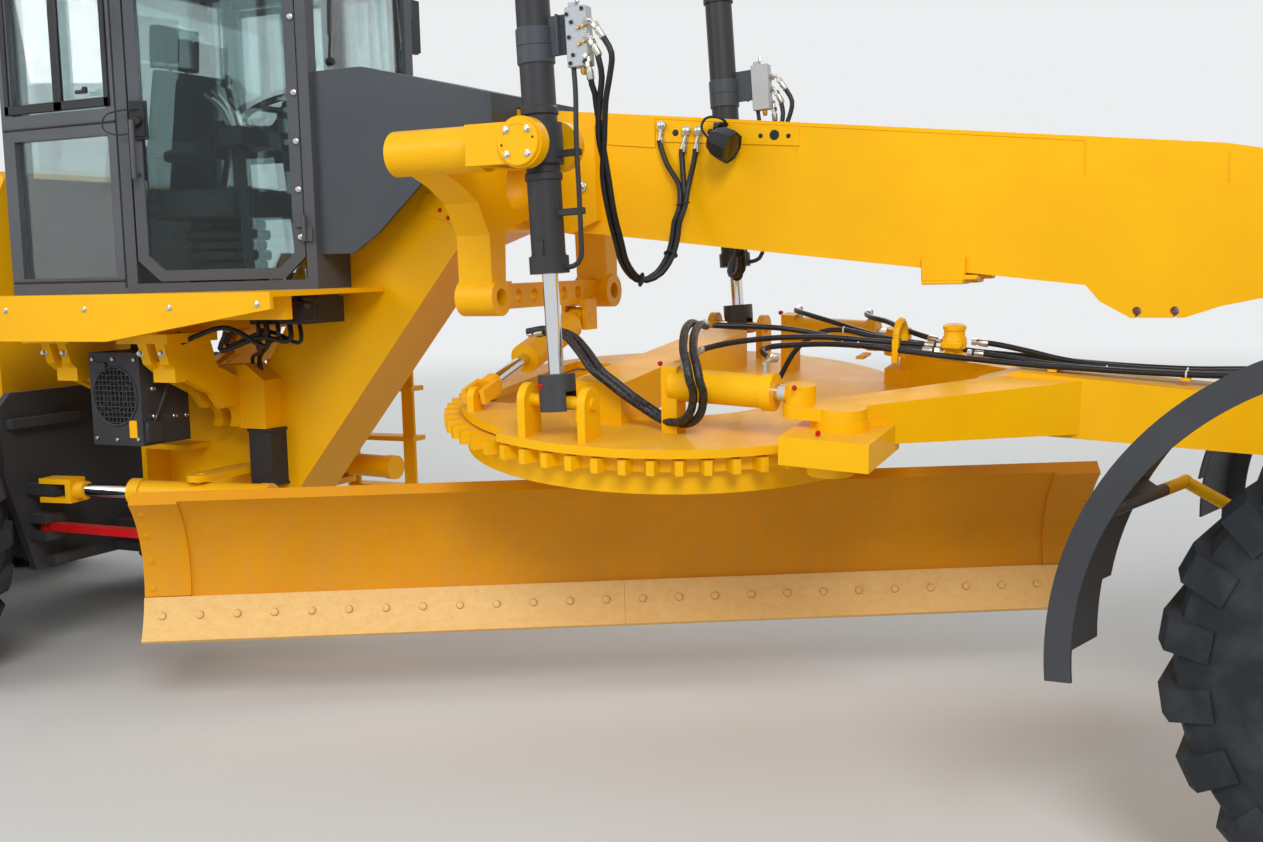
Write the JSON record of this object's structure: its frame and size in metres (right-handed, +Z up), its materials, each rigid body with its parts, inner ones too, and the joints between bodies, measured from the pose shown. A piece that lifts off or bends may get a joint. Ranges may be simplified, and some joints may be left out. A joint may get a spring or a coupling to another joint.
{
  "type": "motor grader",
  "caption": "Articulated six-wheel motor grader with a tapered cab, tandem rear wheels and a blade on a turning circle under the front frame.",
  "frame": {"origin": "on the ground under the middle of the machine's length and width", "axes": "+X forward, +Y to the driver's left, +Z up"},
  "size_m": [9.68, 3.2066, 3.4846],
  "materials": {
    "yellow_paint": "satin",
    "dark_paint": "satin",
    "tyre_rubber": "matt",
    "cab_glass": "clear",
    "cab_trim": "matt",
    "red_paint": "satin",
    "worn_steel": "worn",
    "rod_chrome": "polished"
  },
  "bodies": {
    "rear_frame": {"rear_frame": "dark_paint", "tow_jaw": "dark_paint", "hood": "yellow_paint", "engine_block": "dark_paint", "exhaust": "dark_paint", "tandem_axle": "dark_paint", "lock_bar": "red_paint"},
    "front_frame": {"front_frame": "yellow_paint", "cab_frame": "dark_paint", "cab_glass": "cab_glass", "cab_platform": "yellow_paint", "neck_cover": "dark_paint", "seat": "cab_trim", "controls": "cab_trim", "cooler_box": "dark_paint", "saddle": "yellow_paint", "front_axle": "yellow_paint", "lamps_and_mirrors": "dark_paint", "hitch_ball": "dark_paint"},
    "door_right": {"door_frame_right": "dark_paint", "door_glass_right": "cab_glass"},
    "door_left": {"door_frame_left": "dark_paint", "door_glass_left": "cab_glass"},
    "knuckle_right": {"knuckle_right": "yellow_paint", "fender_right": "dark_paint"},
    "knuckle_left": {"knuckle_left": "yellow_paint", "fender_left": "dark_paint"},
    "tie_rod": {"tie_rod": "dark_paint"},
    "drawbar": {"drawbar": "yellow_paint"},
    "turn_circle": {"turn_circle": "yellow_paint"},
    "blade_carrier": {"blade_carrier": "yellow_paint"},
    "moldboard": {"moldboard": "yellow_paint", "cutting_edges": "worn_steel"},
    "shift_barrel": {"shift_barrel": "yellow_paint"},
    "shift_rod": {"shift_rod": "rod_chrome"},
    "wheel_rear_right_front": {"tyre_rear_right_front": "tyre_rubber", "rim_rear_right_front": "yellow_paint"},
    "wheel_rear_right_back": {"tyre_rear_right_back": "tyre_rubber", "rim_rear_right_back": "yellow_paint"},
    "wheel_front_right": {"tyre_front_right": "tyre_rubber", "rim_front_right": "yellow_paint"},
    "lift_barrel_right": {"lift_barrel_right": "dark_paint"},
    "lift_rod_right": {"lift_rod_right": "rod_chrome"},
    "bend_barrel_right": {"bend_barrel_right": "yellow_paint"},
    "bend_rod_right": {"bend_rod_right": "rod_chrome"},
    "wheel_rear_left_front": {"tyre_rear_left_front": "tyre_rubber", "rim_rear_left_front": "yellow_paint"},
    "wheel_rear_left_back": {"tyre_rear_left_back": "tyre_rubber", "rim_rear_left_back": "yellow_paint"},
    "wheel_front_left": {"tyre_front_left": "tyre_rubber", "rim_front_left": "yellow_paint"},
    "lift_barrel_left": {"lift_barrel_left": "dark_paint"},
    "lift_rod_left": {"lift_rod_left": "rod_chrome"},
    "bend_barrel_left": {"bend_barrel_left": "yellow_paint"},
    "bend_rod_left": {"bend_rod_left": "rod_chrome"}
  },
  "joints": [
    {"name": "articulation", "type": "hinge", "parent": "rear_frame", "child": "front_frame", "pos_m": [-1.56, 0, 0.85], "axis": [0, 0, 1], "range_deg": [-25, 25]},
    {"name": "rear_right_front_wheel", "type": "hinge", "parent": "rear_frame", "child": "wheel_rear_right_front", "pos_m": [-2.291, -1.0775, 0.675], "axis": [0, 1, 0], "continuous": true},
    {"name": "rear_right_back_wheel", "type": "hinge", "parent": "rear_frame", "child": "wheel_rear_right_back", "pos_m": [-3.829, -1.0775, 0.675], "axis": [0, 1, 0], "continuous": true},
    {"name": "rear_left_front_wheel", "type": "hinge", "parent": "rear_frame", "child": "wheel_rear_left_front", "pos_m": [-2.291, 1.0775, 0.675], "axis": [0, 1, 0], "continuous": true},
    {"name": "rear_left_back_wheel", "type": "hinge", "parent": "rear_frame", "child": "wheel_rear_left_back", "pos_m": [-3.829, 1.0775, 0.675], "axis": [0, 1, 0], "continuous": true},
    {"name": "steer_right", "type": "hinge", "parent": "front_frame", "child": "knuckle_right", "pos_m": [3.94, -0.8, 0.675], "axis": [0, 0, 1], "range_deg": [-31, 59]},
    {"name": "steer_left", "type": "hinge", "parent": "front_frame", "child": "knuckle_left", "pos_m": [3.94, 0.8, 0.675], "axis": [0, 0, 1], "range_deg": [-31, 59]},
    {"name": "front_right_wheel", "type": "hinge", "parent": "knuckle_right", "child": "wheel_front_right", "pos_m": [3.87287, -1.06926, 0.675], "axis": [0.2419, 0.9703, 0], "continuous": true},
    {"name": "front_left_wheel", "type": "hinge", "parent": "knuckle_left", "child": "wheel_front_left", "pos_m": [4.00713, 1.06926, 0.675], "axis": [0.2419, 0.9703, 0], "continuous": true},
    {"name": "tie_rod_pivot", "type": "hinge", "parent": "knuckle_right", "child": "tie_rod", "pos_m": [3.68772, -0.7371, 0.53], "axis": [0, 0, 1], "range_deg": [-59, 31]},
    {"name": "door_right", "type": "hinge", "parent": "front_frame", "child": "door_right", "pos_m": [-0.29344, -0.41321, 2.48], "axis": [0, 0, 1], "range_deg": [0, 80]},
    {"name": "door_left", "type": "hinge", "parent": "front_frame", "child": "door_left", "pos_m": [-0.29344, 0.41321, 2.48], "axis": [0, 0, 1], "range_deg": [-80, 0]},
    {"name": "lift", "type": "hinge", "parent": "front_frame", "child": "drawbar", "pos_m": [3.84, 0, 1.19], "axis": [0, 1, 0], "range_deg": [-3.4, 3]},
    {"name": "circle_turn", "type": "hinge", "parent": "drawbar", "child": "turn_circle", "pos_m": [1.23745, 0.00452, 1.22353], "axis": [0.0587, -0.1042, 0.9928], "range_deg": [-5, 100]},
    {"name": "blade_pitch", "type": "hinge", "parent": "turn_circle", "child": "blade_carrier", "pos_m": [1.08786, 0.27, 0.57533], "axis": [0.8712, 0.4909, 0], "range_deg": [-10, 25]},
    {"name": "blade_shift", "type": "slide", "parent": "blade_carrier", "child": "moldboard", "axis": [-0.8712, -0.4909, 0], "range_m": [-0.3, 0.27]},
    {"name": "lift_right_swing", "type": "hinge", "parent": "front_frame", "child": "lift_barrel_right", "pos_m": [1.12, -0.85, 2.225], "axis": [0, 1, 0], "range_deg": [-0.91, 1.03]},
    {"name": "lift_right_rod", "type": "slide", "parent": "lift_barrel_right", "child": "lift_rod_right", "axis": [0.0453, -0.0128, -0.9989], "range_m": [-0.1408, 0.1594]},
    {"name": "lift_left_swing", "type": "hinge", "parent": "front_frame", "child": "lift_barrel_left", "pos_m": [1.12, 0.85, 2.225], "axis": [0, 1, 0], "range_deg": [-2.07, 2.34]},
    {"name": "lift_left_rod", "type": "slide", "parent": "lift_barrel_left", "child": "lift_rod_left", "axis": [0.0638, -0.0289, -0.9975], "range_m": [-0.1396, 0.1581]},
    {"name": "shift_swing", "type": "hinge", "parent": "front_frame", "child": "shift_barrel", "pos_m": [0.623, 0.3, 1.575], "axis": [1, 0, 0], "range_deg": [-9.77, 11.06]},
    {"name": "shift_slide", "type": "slide", "parent": "shift_barrel", "child": "shift_rod", "axis": [0.0222, -0.9606, -0.277], "range_m": [-0.0494, 0.0559]},
    {"name": "bend_right_swing", "type": "hinge", "parent": "front_frame", "child": "bend_barrel_right", "pos_m": [-0.87, -0.5, 0.84], "axis": [0, 0, 1], "range_deg": [-4.96, 4.96]},
    {"name": "bend_right_rod", "type": "slide", "parent": "bend_barrel_right", "child": "bend_rod_right", "axis": [-0.9921, -0.1256, 0], "range_m": [-0.2525, 0.2525]},
    {"name": "bend_left_swing", "type": "hinge", "parent": "front_frame", "child": "bend_barrel_left", "pos_m": [-0.87, 0.5, 0.84], "axis": [0, 0, 1], "range_deg": [-4.96, 4.96]},
    {"name": "bend_left_rod", "type": "slide", "parent": "bend_barrel_left", "child": "bend_rod_left", "axis": [-0.9921, 0.1256, 0], "range_m": [-0.2525, 0.2525]}
  ],
  "couplings": [
    {"joint": "steer_left", "follows": "steer_right", "ratio": 1},
    {"joint": "tie_rod_pivot", "follows": "steer_right", "ratio": -1},
    {"joint": "lift_right_swing", "follows": "lift", "ratio": -0.28693},
    {"joint": "lift_right_rod", "follows": "lift", "m_per_rad": -2.6698},
    {"joint": "bend_right_swing", "follows": "articulation", "ratio": -0.19645},
    {"joint": "bend_right_rod", "follows": "articulation", "m_per_rad": 0.5765},
    {"joint": "lift_left_swing", "follows": "lift", "ratio": -0.67334},
    {"joint": "lift_left_rod", "follows": "lift", "m_per_rad": -2.6475},
    {"joint": "bend_left_swing", "follows": "articulation", "ratio": -0.19645},
    {"joint": "bend_left_rod", "follows": "articulation", "m_per_rad": -0.5765},
    {"joint": "shift_swing", "follows": "lift", "ratio": -3.2397},
    {"joint": "shift_slide", "follows": "lift", "m_per_rad": -0.92488}
  ]
}
